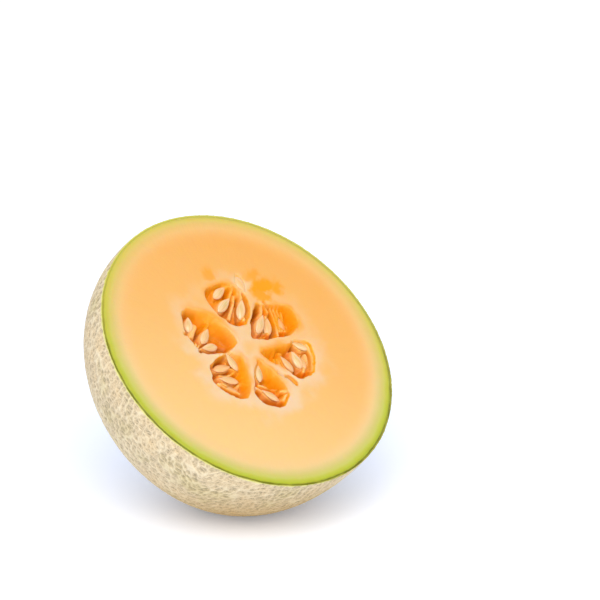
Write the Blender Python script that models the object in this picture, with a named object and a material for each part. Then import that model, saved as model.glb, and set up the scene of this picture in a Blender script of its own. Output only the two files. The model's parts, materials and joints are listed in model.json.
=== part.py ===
"""Half of a netted cantaloupe melon, lying on its rind with the cut face tilted up towards -Y.

Metres, +Z up. The origin is the middle of the small flat spot that the rind rests on.
The fruit was cut across, a little off its widest place and not quite square to its axis, so the half
bulges a little behind the cut and bends to the right. The half is one grown piece, rind, flesh and seed pockets
together, and the seeds lie loose in the pulp of the six pockets.
"""

import math

import bmesh
import bpy
from mathutils import Matrix, Vector

MM = 0.001

# Driving dimensions of the half fruit. Its rind is part of an ellipsoid, whose widest place lies
# behind the cut. A point at some depth behind the cut is shifted to the right and up the face by the
# lean times its depth plus the bend times its depth squared.
FACE_RADIUS = 78.0 * MM
WIDEST_BEHIND_CUT = 7.6 * MM
HALF_LENGTH = 82.4 * MM
FRUIT_RADIUS = FACE_RADIUS / math.sqrt(1 - (WIDEST_BEHIND_CUT / HALF_LENGTH) ** 2)
LEAN_RIGHT = 0.027
LEAN_UP = 0.131
BEND_RIGHT = 0.0015 / MM
BEND_UP = -0.0024 / MM
FACE_TILT = math.radians(43.5)
REST_FLAT_DEPTH = 3.0 * MM

# Colours are linear red, green and blue.
FLESH_COLOUR = (0.93, 0.58, 0.22)
FLESH_ROUGHNESS = 0.5
SEED_COLOUR = (0.90, 0.78, 0.52)
SEED_ROUGHNESS = 0.35

# How finely the round body is faceted.
BODY_SIDES = 64
BODY_RINGS = 18
REST_SEARCH_TURNS = 360
REST_SEARCH_RINGS = 180
WELD = 0.001 * MM
SHARP_FROM = math.radians(35)

# Seed pockets: a smooth closed outline through these points, in mm on the cut face. The first number
# runs to the right and the second up the face, both from the fruit's own axis.
POCKET_OUTLINES_MM = {
    "top": [
        (-8.8, 31.0), (-3.6, 36.6), (8.0, 36.2), (13.6, 28.0), (10.6, 17.6), (4.2, 12.2), (-4.6, 17.2),
    ],
    "right_upper": [
        (5.2, 5.0), (9.6, 13.2), (16.6, 20.6), (26.4, 19.4), (34.6, 17.4), (34.6, 7.4), (28.4, 2.0),
        (15.0, 2.2),
    ],
    "right_lower": [
        (5.2, -4.4), (14.0, -2.2), (25.0, -2.6), (35.4, -5.0), (34.0, -12.8), (27.0, -21.6),
        (18.6, -21.6), (10.0, -11.8),
    ],
    "bottom": [
        (1.0, -7.0), (-5.4, -15.4), (-10.4, -25.0), (-6.6, -32.2), (2.0, -34.0), (8.2, -28.0),
        (7.6, -19.4), (3.4, -12.0),
    ],
    "left_lower": [
        (-24.6, -3.4), (-15.6, -1.4), (-7.0, -3.4), (-7.8, -12.2), (-11.6, -21.8), (-18.0, -25.6),
        (-25.6, -20.0), (-28.8, -11.4),
    ],
    "left_upper": [
        (-24.6, 29.0), (-16.6, 26.6), (-9.4, 19.4), (-6.6, 10.0), (-9.0, 2.4), (-18.0, 1.4),
        (-27.6, 4.6), (-31.6, 14.0), (-29.4, 24.0),
    ],
}
POCKET_DEPTH = 8.0 * MM
POCKET_OUTLINE_POINTS = 30
# The pocket narrows towards its rounded floor: share of the depth, and share of the outline there.
POCKET_WALL = [(0.0, 1.0), (0.35, 0.95), (0.65, 0.86), (0.86, 0.70), (0.97, 0.45), (1.0, 0.2)]
CUTTER_OVERSHOOT = 3.0 * MM

# Seeds: where each one's middle lies on the face and how far below it, in mm; which way its pointed
# end runs round the face and how much that end dips, in degrees; how far it is rolled on its long
# axis, in degrees; and its length and width, in mm. The last one lies half out of the flesh, on a rim.
SEEDS_MM = [
    # across, up, below, heading, dip, roll, length, width
    (2.7, 33.7, 3.0, 24, -6, 18, 9.6, 4.8),
    (2.1, 27.0, 3.8, 29, -8, 12, 10.6, 4.8),
    (10.0, 22.5, 3.6, 59, -10, -20, 11.4, 4.6),
    (16.2, 12.4, 3.6, 48, -8, 8, 11.4, 4.8),
    (20.8, 11.0, 5.4, 66, -6, -16, 10.6, 4.4),
    (29.3, 10.2, 6.0, 79, -4, 10, 9.0, 4.0),
    (29.9, -4.6, 2.2, 134, 4, 14, 9.2, 4.6),
    (24.6, -11.1, 3.2, 94, -6, -12, 9.8, 4.6),
    (18.8, -11.6, 4.0, 107, -4, 10, 10.0, 4.4),
    (28.6, -12.6, 5.2, 75, 8, 0, 8.4, 3.8),
    (-0.8, -13.7, 2.6, 67, -6, 22, 9.2, 4.8),
    (-0.3, -25.8, 3.8, 134, -6, 14, 10.4, 4.6),
    (-12.3, -4.3, 2.4, 103, -8, 16, 10.2, 5.4),
    (-18.4, -5.7, 3.7, -5, -6, -14, 9.8, 4.8),
    (-18.3, -12.6, 3.8, 158, -4, 12, 11.0, 4.8),
    (-18.7, -16.9, 5.6, 141, -6, 20, 10.2, 4.2),
    (-24.2, 20.6, 3.0, 66, -8, -18, 8.2, 4.6),
    (-18.4, 12.6, 3.2, 43, -8, 14, 9.4, 4.8),
    (-19.2, 6.2, 3.2, 174, -4, -10, 9.2, 4.4),
    (15.0, 34.6, 0.7, -90, 0, 0, 9.4, 5.2),
]
SEED_THICKNESS = 2.2 * MM
SEED_SIDES = 10
SEED_STATIONS = [0.06, 0.2, 0.38, 0.58, 0.76, 0.9, 0.97]
SEED_WIDEST = 0.6
SEED_BLUNTNESS = 0.62
# The pulp keeps this far from a seed that lies in it.
SEED_SOCKET_GAP = 0.4 * MM


def clear_scene():
    for old in list(bpy.data.objects):
        bpy.data.objects.remove(old)


def coat(name, colour, roughness):
    material = bpy.data.materials.new(name)
    material.use_nodes = True
    shader = material.node_tree.nodes["Principled BSDF"]
    shader.inputs["Base Color"].default_value = (*colour, 1.0)
    shader.inputs["Roughness"].default_value = roughness
    shader.inputs["Metallic"].default_value = 0.0
    return material


def add_object(name, bm, parent, material=None):
    bmesh.ops.recalc_face_normals(bm, faces=bm.faces[:])
    mesh = bpy.data.meshes.new(name)
    bm.to_mesh(mesh)
    bm.free()
    if material:
        mesh.materials.append(material)
    obj = bpy.data.objects.new(name, mesh)
    bpy.context.scene.collection.objects.link(obj)
    obj.parent = parent
    return obj


def loft(bm, rings, tips=None):
    """Joins closed rings of points, each the same length, into one skin.

    The ends are filled flat, or drawn to the two given points.
    """
    loops = [[bm.verts.new(point) for point in ring] for ring in rings]
    count = len(rings[0])
    for lower, upper in zip(loops, loops[1:]):
        for i in range(count):
            j = (i + 1) % count
            bm.faces.new((lower[i], lower[j], upper[j], upper[i]))
    for loop, tip in zip((loops[0], loops[-1]), tips or (None, None)):
        if tip is None:
            bm.faces.new(loop)
            continue
        end = bm.verts.new(tip)
        for i in range(count):
            bm.faces.new((loop[i], loop[(i + 1) % count], end))


def bent(x, y, z):
    """A point of the upright fruit, shifted by the lean and the bend for its depth behind the cut."""
    right = LEAN_RIGHT * -z + BEND_RIGHT * z**2
    up = LEAN_UP * -z + BEND_UP * z**2
    return Vector((x + right, y + up, z))


def rind_profile(rings):
    """Radius and depth of the rind from the rim of the cut to the blossom end, along the ellipse."""
    first = -math.asin(WIDEST_BEHIND_CUT / HALF_LENGTH)
    found = []
    for i in range(rings + 1):
        angle = first + (math.pi / 2 - first) * i / rings
        found.append((FRUIT_RADIUS * math.cos(angle), WIDEST_BEHIND_CUT + HALF_LENGTH * math.sin(angle)))
    found[0] = (FACE_RADIUS, 0.0)
    found[-1] = (0.0, WIDEST_BEHIND_CUT + HALF_LENGTH)
    return found


def rest_spot_middle(turn):
    """Middle of the flat rest spot, once the rind is turned as it rests.

    The rind is sampled finely. The spot lies the flat's depth above the lowest point, and its middle
    is halfway between the smallest and the largest x, and y, of the rind below that level.
    """
    points = []
    for radius, depth in rind_profile(REST_SEARCH_RINGS):
        for k in range(REST_SEARCH_TURNS):
            angle = 2 * math.pi * k / REST_SEARCH_TURNS
            points.append(turn @ bent(radius * math.cos(angle), radius * math.sin(angle), -depth))
    level = min(point.z for point in points) + REST_FLAT_DEPTH
    below = [point for point in points if point.z < level]
    middle = [(min(p[k] for p in below) + max(p[k] for p in below)) / 2 for k in (0, 1)]
    return Vector((*middle, level))


def face_frame():
    """An empty at the middle of the cut face: +Z runs out of the face, and +Y up it.

    The middle of the rest spot comes to the origin.
    """
    frame = bpy.data.objects.new("cut_face_frame", None)
    bpy.context.scene.collection.objects.link(frame)
    frame.location = -rest_spot_middle(Matrix.Rotation(FACE_TILT, 3, "X"))
    frame.rotation_euler = (FACE_TILT, 0.0, 0.0)
    return frame


def half_fruit(frame, material):
    """An arc of the ellipse from the rim of the cut to the blossom end, spun round, then bent."""
    bm = bmesh.new()
    corners = [(0.0, 0.0, 0.0)]
    corners += [(radius, 0.0, -depth) for radius, depth in rind_profile(BODY_RINGS)]
    profile = [bm.verts.new(point) for point in corners]
    edges = [bm.edges.new(pair) for pair in zip(profile, profile[1:])]
    bmesh.ops.spin(
        bm,
        geom=profile + edges,
        cent=(0.0, 0.0, 0.0),
        axis=(0.0, 0.0, 1.0),
        angle=2 * math.pi,
        steps=BODY_SIDES,
        use_merge=True,
    )
    bmesh.ops.remove_doubles(bm, verts=bm.verts[:], dist=WELD)
    for vert in bm.verts:
        vert.co = bent(*vert.co)
    return add_object("melon_half", bm, frame, material)


def smooth_outline(points, count):
    """Points at even steps along a closed curve that passes through the given ones (Catmull-Rom)."""
    found = []
    for step in range(count):
        place = step * len(points) / count
        i = int(place)
        t = place - i
        a, b, c, d = (Vector(points[(i + k) % len(points)]) for k in (-1, 0, 1, 2))
        bend = 2 * a - 5 * b + 4 * c - d
        twist = 3 * b - a - 3 * c + d
        found.append(0.5 * (2 * b + (c - a) * t + bend * t**2 + twist * t**3))
    return found


def pocket_cutter(name, outline_mm, frame):
    outline = [point * MM for point in smooth_outline(outline_mm, POCKET_OUTLINE_POINTS)]
    middle = sum(outline, Vector((0.0, 0.0))) / len(outline)
    levels = [(CUTTER_OVERSHOOT, 1.0)] + [(-POCKET_DEPTH * depth, share) for depth, share in POCKET_WALL]
    bm = bmesh.new()
    loft(bm, [[(*(middle + (p - middle) * share), z) for p in outline] for z, share in levels])
    return add_object("cutter_pocket_" + name, bm, frame)


def seed_mesh(length, width, thickness):
    """A flat teardrop along +X, pointed end forward: its half width is a power of a skewed half sine."""
    bm = bmesh.new()
    skew = math.log(0.5) / math.log(SEED_WIDEST)
    turns = [2 * math.pi * k / SEED_SIDES for k in range(SEED_SIDES)]
    rings = []
    for from_point in SEED_STATIONS:
        swell = math.sin(math.pi * from_point**skew) ** SEED_BLUNTNESS
        x = length * (0.5 - from_point)
        side = width / 2 * swell
        face = thickness / 2 * swell
        rings.append([(x, side * math.cos(a), face * math.sin(a)) for a in turns])
    loft(bm, rings, tips=((length / 2, 0.0, 0.0), (-length / 2, 0.0, 0.0)))
    return bm


def lay_seed(name, row, margin, frame, material=None):
    """A seed of one row of the list, in its place, made larger all round by the margin."""
    across, up, below, heading, dip, roll, length, width = row
    sizes = [length * MM, width * MM, SEED_THICKNESS]
    seed = add_object(name, seed_mesh(*(size + 2 * margin for size in sizes)), frame, material)
    turn = Matrix.Rotation(math.radians(heading), 4, "Z")
    turn = turn @ Matrix.Rotation(math.radians(dip), 4, "Y")
    turn = turn @ Matrix.Rotation(math.radians(roll), 4, "X")
    seed.matrix_local = Matrix.Translation(Vector((across, up, -below)) * MM) @ turn
    return seed


def as_cutter(obj):
    obj.hide_render = True
    obj.display_type = "WIRE"


def cut(obj, name, cutter):
    modifier = obj.modifiers.new(name, "BOOLEAN")
    modifier.operation = "DIFFERENCE"
    modifier.solver = "EXACT"
    modifier.object = cutter
    as_cutter(cutter)


def build():
    clear_scene()
    fruit = coat("fruit", FLESH_COLOUR, FLESH_ROUGHNESS)
    seed_coat = coat("seed_coat", SEED_COLOUR, SEED_ROUGHNESS)
    frame = face_frame()
    body = half_fruit(frame, fruit)

    for name, outline in POCKET_OUTLINES_MM.items():
        cut(body, name, pocket_cutter(name, outline, frame))

    for number, row in enumerate(SEEDS_MM, 1):
        lay_seed(f"seed_{number:02d}", row, 0.0, frame, seed_coat)
        socket = f"socket_{number:02d}"
        cut(body, socket, lay_seed("cutter_" + socket, row, SEED_SOCKET_GAP, frame))

    floor = bmesh.new()
    bmesh.ops.create_cube(floor, size=4 * FRUIT_RADIUS)
    floor_cutter = add_object("cutter_floor", floor, None)
    floor_cutter.location.z = -2 * FRUIT_RADIUS
    cut(body, "rest_spot", floor_cutter)

    for obj in bpy.data.objects:
        if obj.type == "MESH":
            obj.data.shade_smooth()
            obj.data.set_sharp_from_angle(angle=SHARP_FROM)


build()
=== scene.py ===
# %% [markdown]
# # Half a netted melon, cut across
#
# A netted melon is three things to the eye. The rind is a thin skin that split as the fruit swelled
# and healed with cork, which left a raised net on a grey-green ground. The flesh is wet and orange,
# and turns green just under the skin. The seeds sit in six pockets of pulp round a pale core.
#
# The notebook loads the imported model, which holds every real size, and then makes the rind, the
# flesh, the seeds and the pulp as surfaces worked out with numpy, one short step at a time.

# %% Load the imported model
import json
import math

import bpy
import numpy as np
from mathutils import Matrix, Vector


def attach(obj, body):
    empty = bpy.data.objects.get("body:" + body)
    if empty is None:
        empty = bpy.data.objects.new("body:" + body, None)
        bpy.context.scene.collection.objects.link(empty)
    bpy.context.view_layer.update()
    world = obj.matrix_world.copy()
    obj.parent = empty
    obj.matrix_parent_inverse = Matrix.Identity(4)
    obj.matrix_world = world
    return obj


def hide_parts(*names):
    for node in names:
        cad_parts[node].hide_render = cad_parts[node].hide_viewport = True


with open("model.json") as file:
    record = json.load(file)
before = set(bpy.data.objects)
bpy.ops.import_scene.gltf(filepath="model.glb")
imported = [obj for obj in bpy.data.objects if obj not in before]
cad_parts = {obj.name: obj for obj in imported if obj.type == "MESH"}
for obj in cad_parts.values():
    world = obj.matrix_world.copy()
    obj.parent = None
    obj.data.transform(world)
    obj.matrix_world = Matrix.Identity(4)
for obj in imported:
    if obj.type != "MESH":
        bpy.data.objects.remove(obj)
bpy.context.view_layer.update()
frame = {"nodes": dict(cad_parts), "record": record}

# %% [markdown]
# ## Working on the cut face
#
# Everything about a cut melon is easier to say on its cut face: how far to the right, how far up the
# face, and how far out of it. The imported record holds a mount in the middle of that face, so its
# point and its direction give these three axes. All shapes below are worked out there in
# millimetres, and one function carries them to metres in the model's own frame.

# %% The cut face's own axes
MM = 0.001
FACE_RADIUS = 78.0
WIDEST_BEHIND_CUT = 7.6
HALF_LENGTH = 82.4
LEAN = np.array([0.027, 0.131, 0.0])
BEND = np.array([0.0015, -0.0024, 0.0])
FRUIT_RADIUS = FACE_RADIUS / math.sqrt(1 - (WIDEST_BEHIND_CUT / HALF_LENGTH) ** 2)
cut_face = next(m for m in frame["record"]["mounts"] if m["name"] == "cut_face")
face_centre = np.array(cut_face["pos_m"])
face_out = np.array(cut_face["axis"]) / np.linalg.norm(cut_face["axis"])
face_right = np.array([1.0, 0.0, 0.0])
face_up = np.cross(face_out, face_right)
face_axes = np.stack([face_right, face_up, face_out])
face_tilt = math.atan2(-face_out[1], face_out[2])
print("face tilt, degrees:", round(math.degrees(face_tilt), 2))


def to_model(points):
    """Face millimetres to model metres: the centre plus each number times its axis."""
    return face_centre + (np.asarray(points) @ face_axes) * MM


def to_face(points):
    """Model metres to face millimetres: the other way round."""
    return ((np.asarray(points) - face_centre) @ face_axes.T) / MM


# %% [markdown]
# ## Noise that a fruit grows by
#
# Nothing on a fruit is even, so most shapes here are a plain formula plus a little smooth noise.
# Random numbers sit on the corners of a lattice of cubes, and the noise at a point is blended from
# the eight corners round it. The seed number fixes the table, so each run gives the same fruit.

# %% Smooth noise and an easy step
LATTICE = 32


def ease(low, high, value):
    """0 below low, 1 above high, and 3 t squared minus 2 t cubed in between."""
    t = np.clip((value - low) / (high - low), 0.0, 1.0)
    return t * t * (3.0 - 2.0 * t)


def smooth_noise(points, cell, seed):
    """Noise from -1 to 1, with lumps about as large as cell: lattice values blended by eased shares."""
    table = np.random.default_rng(seed).uniform(-1.0, 1.0, (LATTICE, LATTICE, LATTICE))
    scaled = np.asarray(points) / cell
    low = np.floor(scaled).astype(int)
    share = ease(0.0, 1.0, scaled - low)
    total = np.zeros(len(scaled))
    for corner in np.ndindex(2, 2, 2):
        at = (low + corner) % LATTICE
        weight = np.prod(np.where(np.array(corner) == 1, share, 1.0 - share), axis=1)
        total += weight * table[at[:, 0], at[:, 1], at[:, 2]]
    return total


def noise_shift(points, cell, numbers):
    """One noise for each seed number, side by side, to push points about with."""
    return np.stack([smooth_noise(points, cell, number) for number in numbers], -1)


# %% [markdown]
# ## Meshes
#
# A dome drawn with circles round its pole crowds its faces at the pole and starves the rim. A square
# grid bent to a round disc keeps them nearly even, so each square millimetre gets about as many. The
# hidden inner walls need few faces, so their rings halve their points three times on the way down.

# %% A square grid bent to a disc, and faces between rings


def disc_grid(count):
    """A square of count by count quads bent to a disc of radius 1.

    Each square ring becomes a circle: its half side is the radius, and the share of the way along a
    side is the share of a quarter turn. Returns x, y, the quads and the points of the rim in order.
    """
    steps = np.linspace(-1.0, 1.0, count + 1)
    a, b = np.meshgrid(steps, steps, indexing="ij")
    wide = np.abs(a) >= np.abs(b)
    radius = np.where(wide, a, b)
    ratio = np.where(wide, b, a) / np.where(radius == 0.0, 1.0, radius)
    turn = np.where(wide, ratio, 2.0 - ratio) * math.pi / 4
    index = np.arange((count + 1) ** 2).reshape(count + 1, count + 1)
    quads = np.stack([index[:-1, :-1], index[1:, :-1], index[1:, 1:], index[:-1, 1:]], -1)
    rim = np.concatenate([index[:-1, 0], index[-1, :-1], index[:0:-1, -1], index[0, :0:-1]])
    return (radius * np.cos(turn)).ravel(), (radius * np.sin(turn)).ravel(), quads.reshape(-1, 4), rim


def join_rings(upper, lower):
    """Faces between two rings of points. Where the lower has half as many, three triangles a pair."""
    after, below = np.roll(upper, -1), np.roll(lower, -1)
    if len(upper) == len(lower):
        return np.stack([upper, after, below, lower], -1).tolist()
    left, middle, right = upper[::2], upper[1::2], after[1::2]
    triangles = [(left, middle, lower), (middle, right, below), (middle, below, lower)]
    return np.concatenate([np.stack(t, -1) for t in triangles]).tolist()


# %% [markdown]
# ## The shape of the fruit
#
# The fruit is part of an ellipsoid. The cut missed its widest place by 8 mm and wasn't quite square
# to its axis, so behind the cut the half first bulges a little and then bends to the right. Every
# layer of the fruit, the skin, the inside of the rind and the outside of the flesh, has this shape.

# %% A point of the fruit at some depth under the skin


def fruit_layer(from_pole, around, inset=0.0):
    """Points inset mm under the skin, by the angle from the blossom end and the turn round the axis.

    Across they lie at r sin a and in depth at 7.6 mm plus h cos a, both sizes less the inset. Each is
    then shifted to the right and up by the lean times its depth plus the bend times its square.
    """
    across = (FRUIT_RADIUS - inset) * np.sin(from_pole)
    depth = WIDEST_BEHIND_CUT + (HALF_LENGTH - inset) * np.cos(from_pole)
    upright = np.stack([across * np.cos(around), across * np.sin(around), -depth], -1)
    return upright + depth[..., None] * LEAN + depth[..., None] ** 2 * BEND


def rim_angle(inset=0.0):
    """The angle from the blossom end at which a layer meets the cut, where its depth is 0."""
    return math.acos(-WIDEST_BEHIND_CUT / (HALF_LENGTH - inset))


def layer_radius(inset):
    """Radius of a layer in the cut."""
    return (FRUIT_RADIUS - inset) * math.sin(rim_angle(inset))


BOWL_STEPS = np.radians([1.2, 3.0, 6.0, *np.linspace(9.5, 92.0, 24)])
HALVINGS = 3


def bowl(rim, turns, inset, first):
    """A layer of the fruit as rings, from a rim of points that is already there down to its pole."""
    points, faces, above = [], [], rim
    for step, down in enumerate(BOWL_STEPS):
        turns = turns[::2] if step < HALVINGS else turns
        ring = first + sum(map(len, points)) + np.arange(len(turns))
        points.append(fruit_layer(np.full(len(turns), rim_angle(inset) - down), turns, inset))
        faces += join_rings(above, ring)
        above = ring
    pole = first + sum(map(len, points))
    points.append(fruit_layer(np.zeros(1), np.zeros(1), inset))
    faces += [[int(i), int(j), pole] for i, j in zip(above, np.roll(above, -1))]
    return np.concatenate(points), faces


# %% Put a mesh in the scene


def add_object(name, data):
    """A new object of the scene, with its origin at the world's and no turn or scale."""
    added = bpy.data.objects.new(name, data)
    bpy.context.scene.collection.objects.link(added)
    return added


def make_piece(name, points, faces, material, replaced):
    """A finished piece in the model's frame, riding on the one body, in place of the CAD nodes."""
    mesh = bpy.data.meshes.new(name)
    mesh.from_pydata(np.asarray(points).tolist(), [], faces)
    mesh.materials.append(material)
    mesh.polygons.foreach_set("use_smooth", [True] * len(mesh.polygons))
    mesh.update()
    piece = add_object(name, mesh)
    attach(piece, "root")
    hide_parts(*replaced)
    triangles = sum(len(face) - 2 for face in faces)
    print(f"{name}: {triangles} triangles")
    return piece


def add_attribute(piece, name, values):
    """One number for each point of the mesh, which a material can read by this name."""
    attribute = piece.data.attributes.new(name, "FLOAT", "POINT")
    attribute.data.foreach_set("value", np.asarray(values, dtype=np.float32))


# %% [markdown]
# ## Materials
#
# Small helpers serve every material. The first turns a colour as a paint program shows it (sRGB) into
# the linear light that Cycles adds up. The second adds one node, sets it and links it, and the others
# say through it what these materials need often: sums, ranges, noises, ramps and mixes.

# %% Helpers for materials


def linear(code):
    """An sRGB hex colour as linear light: each part over 0.04 is ((c + 0.055) / 1.055) to the 2.4."""
    parts = [int(code[i : i + 2], 16) / 255 for i in (0, 2, 4)]
    return (*((c / 12.92 if c <= 0.04045 else ((c + 0.055) / 1.055) ** 2.4) for c in parts), 1.0)


def add_node(material, kind, inputs=None, stops=None, **settings):
    """One node: its settings, then its inputs, each a value or another node's output, then a ramp."""
    node = material.node_tree.nodes.new(kind)
    for name, value in settings.items():
        setattr(node, name, value)
    for key, value in (inputs or {}).items():
        if isinstance(value, bpy.types.NodeSocket):
            material.node_tree.links.new(value, node.inputs[key])
        else:
            node.inputs[key].default_value = value
    if stops:
        ramp = node.color_ramp
        while len(ramp.elements) < len(stops):
            ramp.elements.new(1.0)
        for element, (place, code) in zip(ramp.elements, stops):
            element.position = place
            element.color = linear(code)
    return node


def new_material(name):
    """An empty node material and its Principled BSDF."""
    material = bpy.data.materials.new(name)
    material.use_nodes = True
    return material, material.node_tree.nodes["Principled BSDF"]


def sums(material, operation, *values, **settings):
    """One operation on numbers."""
    node = add_node(material, "ShaderNodeMath", dict(enumerate(values)), operation=operation, **settings)
    return node.outputs[0]


def vectors(material, operation, *values, output="Vector"):
    """One operation on vectors, which gives a vector or a number, the output Value."""
    node = add_node(material, "ShaderNodeVectorMath", dict(enumerate(values)), operation=operation)
    return node.outputs[output]


def rescale(material, value, low, high, to_low=0.0, to_high=1.0, kind="LINEAR"):
    """The range from low to high taken to that from to_low to to_high, and held at its ends."""
    inputs = {"Value": value, "From Min": low, "From Max": high, "To Min": to_low, "To Max": to_high}
    return add_node(material, "ShaderNodeMapRange", inputs, interpolation_type=kind).outputs["Result"]


def noise(material, place, size, output="Fac", detail=2.0, **inputs):
    """Smooth noise with lumps about as large as size, in the unit of place."""
    inputs = {"Vector": place, "Scale": 1.0 / size, "Detail": detail, **inputs}
    return add_node(material, "ShaderNodeTexNoise", inputs).outputs[output]


def read(material, name):
    """A number that the mesh holds for each of its points."""
    return add_node(material, "ShaderNodeAttribute", attribute_name=name).outputs["Fac"]


def ramp_over(material, value, low, high, stops):
    """A colour ramp whose places are given in the value's own unit."""
    share = rescale(material, value, low, high)
    places = [((place - low) / (high - low), code) for place, code in stops]
    return add_node(material, "ShaderNodeValToRGB", {"Fac": share}, stops=places).outputs["Color"]


def mix_colours(material, share, first, second, **settings):
    """The first colour, changed by a share into the second."""
    inputs = {"Factor": share, 6: first, 7: second}
    return add_node(material, "ShaderNodeMix", inputs, data_type="RGBA", **settings).outputs[2]


def face_coordinates(material):
    """The point in face millimetres: Object coordinates turned by the tilt and moved to the centre."""
    turned = Matrix.Rotation(-face_tilt, 3, "X")
    inputs = {
        "Vector": add_node(material, "ShaderNodeTexCoord").outputs["Object"],
        "Scale": (1.0 / MM,) * 3,
        "Rotation": (-face_tilt, 0.0, 0.0),
        "Location": -(turned @ Vector(face_centre)) / MM,
    }
    return add_node(material, "ShaderNodeMapping", inputs).outputs["Vector"]


def dress(material, shader, colour, numbers, height=None, strength=0.0, relief=0.0):
    """Link the colour, set the shader's plain numbers, and bump it by a height, relief mm high."""
    links = material.node_tree.links
    links.new(colour, shader.inputs["Base Color"])
    if height is not None:
        inputs = {"Height": height, "Strength": strength, "Distance": relief * MM}
        bump = add_node(material, "ShaderNodeBump", inputs)
        links.new(bump.outputs["Normal"], shader.inputs["Normal"])
    for name, value in numbers.items():
        shader.inputs[name].default_value = value
    return material


# %% [markdown]
# ## The net
#
# The net is where the skin once cracked. Cracks in a stretched skin run so that each patch between
# them is nearest to its own middle, which is a Voronoi pattern. Random middles sit one to a cube of
# a lattice through the whole fruit, so the pattern wraps round it with no seam. The points are
# pushed about by noise first, or the cracks would be as straight as in dry mud. What is kept is how
# far a point lies inside a line, in millimetres, because a material can turn that into a crisp edge
# between two points of the mesh.

# %% Distance to the nearest crack
MAIN_CELL, MAIN_HALF_WIDTH = 3.6, 0.38
HALF_WIDTH_VARIES = 0.12
# The noises that bend the cracks: lump size and push in mm, and seed numbers.
NET_BENDS = [(7.0, 1.2, (1, 2, 3)), (2.4, 0.35, (4, 5, 6))]


def crack_distance(points, cell, seed):
    """Distance to the border of a cell: the smallest distance to the planes halfway between the
    nearest middle and each middle round it."""
    table = np.random.default_rng(seed).uniform(0.12, 0.88, (LATTICE, LATTICE, LATTICE, 3))
    low = np.floor(points / cell).astype(int)
    cubes = low[:, None, :] + (np.array(list(np.ndindex(3, 3, 3))) - 1)
    wrapped = cubes % LATTICE
    middles = (cubes + table[wrapped[..., 0], wrapped[..., 1], wrapped[..., 2]]) * cell
    apart = middles - points[:, None, :]
    nearest = np.argmin((apart**2).sum(-1), axis=1)
    nearest = np.take_along_axis(middles, nearest[:, None, None], axis=1)
    between = middles - nearest
    size = np.linalg.norm(between, axis=-1)
    halfway = (middles + nearest) / 2 - points[:, None, :]
    plane = (halfway * between).sum(-1) / np.where(size == 0.0, 1.0, size)
    return np.where(size == 0.0, np.inf, plane).min(axis=1)


def net_field(points):
    """How far inside a corky line each point of the skin lies, in mm, and below 0 between lines."""
    pushed = points
    for size, push, numbers in NET_BENDS:
        pushed = pushed + push * noise_shift(points, size, numbers)
    half_width = MAIN_HALF_WIDTH + HALF_WIDTH_VARIES * smooth_noise(points, 9.0, 7)
    return half_width - crack_distance(pushed, MAIN_CELL, 8)


# %% [markdown]
# ## The rind
#
# The rind is a closed shell about a millimetre thick: the netted outer skin, the narrow ring of its
# cut edge, and a smooth inner wall. The tops of the lines lie on the fruit's ellipsoid, and the
# ground between them is sunk below it. At the blossom end, which the flower once left, a corky scar
# closes the net. Where the fruit lay, the skin is pressed flat.

# %% Shape of the rind
# Sizes in mm. The flanks are how far inside a line its side starts and ends to rise.
RIND_GRID = 292
RIND_THICKNESS = 0.9
GROUND_DEPTH, LINE_TOP_DEPTH = 0.5, 0.06
SCAR_RADIUS, SCAR_WAVES = 6.5, 0.8
FLANKS = (-0.5, 0.45)
PORE_DEPTH = 0.05
RIM_DEPTH = 0.3


def press_flat(points, floor):
    """No point lower than floor, in mm over the surface that the half rests on."""
    points[:, 2] = np.maximum(points[:, 2], floor * MM)
    return points


x, y, quads, rim = disc_grid(RIND_GRID)
half_chord = math.sin(rim_angle() / 2)
from_pole = 2.0 * np.arcsin(half_chord * np.clip(np.hypot(x, y), 0.0, 1.0))
from_pole[rim] = rim_angle()
around = np.arctan2(y, x)
skin = fruit_layer(from_pole, around)
skin[rim, 2] = 0.0
net = net_field(skin)
blossom_end = fruit_layer(np.zeros(1), np.zeros(1))[0]
from_scar = np.linalg.norm(skin - blossom_end, axis=1) + SCAR_WAVES * smooth_noise(skin, 3.0, 15)
net = np.maximum(net, 1.0 - np.abs(from_scar - SCAR_RADIUS))
scar_cork = np.maximum(net, 0.45 * smooth_noise(skin, 1.6, 16) - 0.1)
net = np.where(from_scar < SCAR_RADIUS, scar_cork, net)
pores = PORE_DEPTH * (1.0 + smooth_noise(skin, 1.4, 17))
sunk = LINE_TOP_DEPTH + GROUND_DEPTH * (1.0 - ease(*FLANKS, net)) + pores
sunk[rim] = np.minimum(sunk[rim], RIM_DEPTH)
skin *= (1.0 - sunk / FRUIT_RADIUS)[:, None]
print("net covers", round(float((net > 0).mean()), 2), "of the skin")

# %% Close the shell
EDGE_SHARES = (0.35, 0.7, 1.0)
turns = np.arctan2(y[rim], x[rim])
edge_rings, edge_faces, above = [], [], rim
rim_radius = np.hypot(skin[rim, 0], skin[rim, 1])
for share in EDGE_SHARES:
    ring = len(skin) + sum(map(len, edge_rings)) + np.arange(len(rim))
    across = rim_radius + share * (layer_radius(RIND_THICKNESS) - rim_radius)
    edge_rings.append(np.stack([across * np.cos(turns), across * np.sin(turns), 0.0 * turns], -1))
    edge_faces += join_rings(above, ring)
    above = ring
first = len(skin) + sum(map(len, edge_rings))
inner, inner_faces = bowl(above, turns, RIND_THICKNESS, first)
rind_points = np.concatenate(
    [
        press_flat(to_model(np.concatenate([skin, *edge_rings])), 0.0),
        press_flat(to_model(inner), RIND_THICKNESS),
    ]
)
rind_faces = quads[:, ::-1].tolist() + edge_faces + inner_faces

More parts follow.
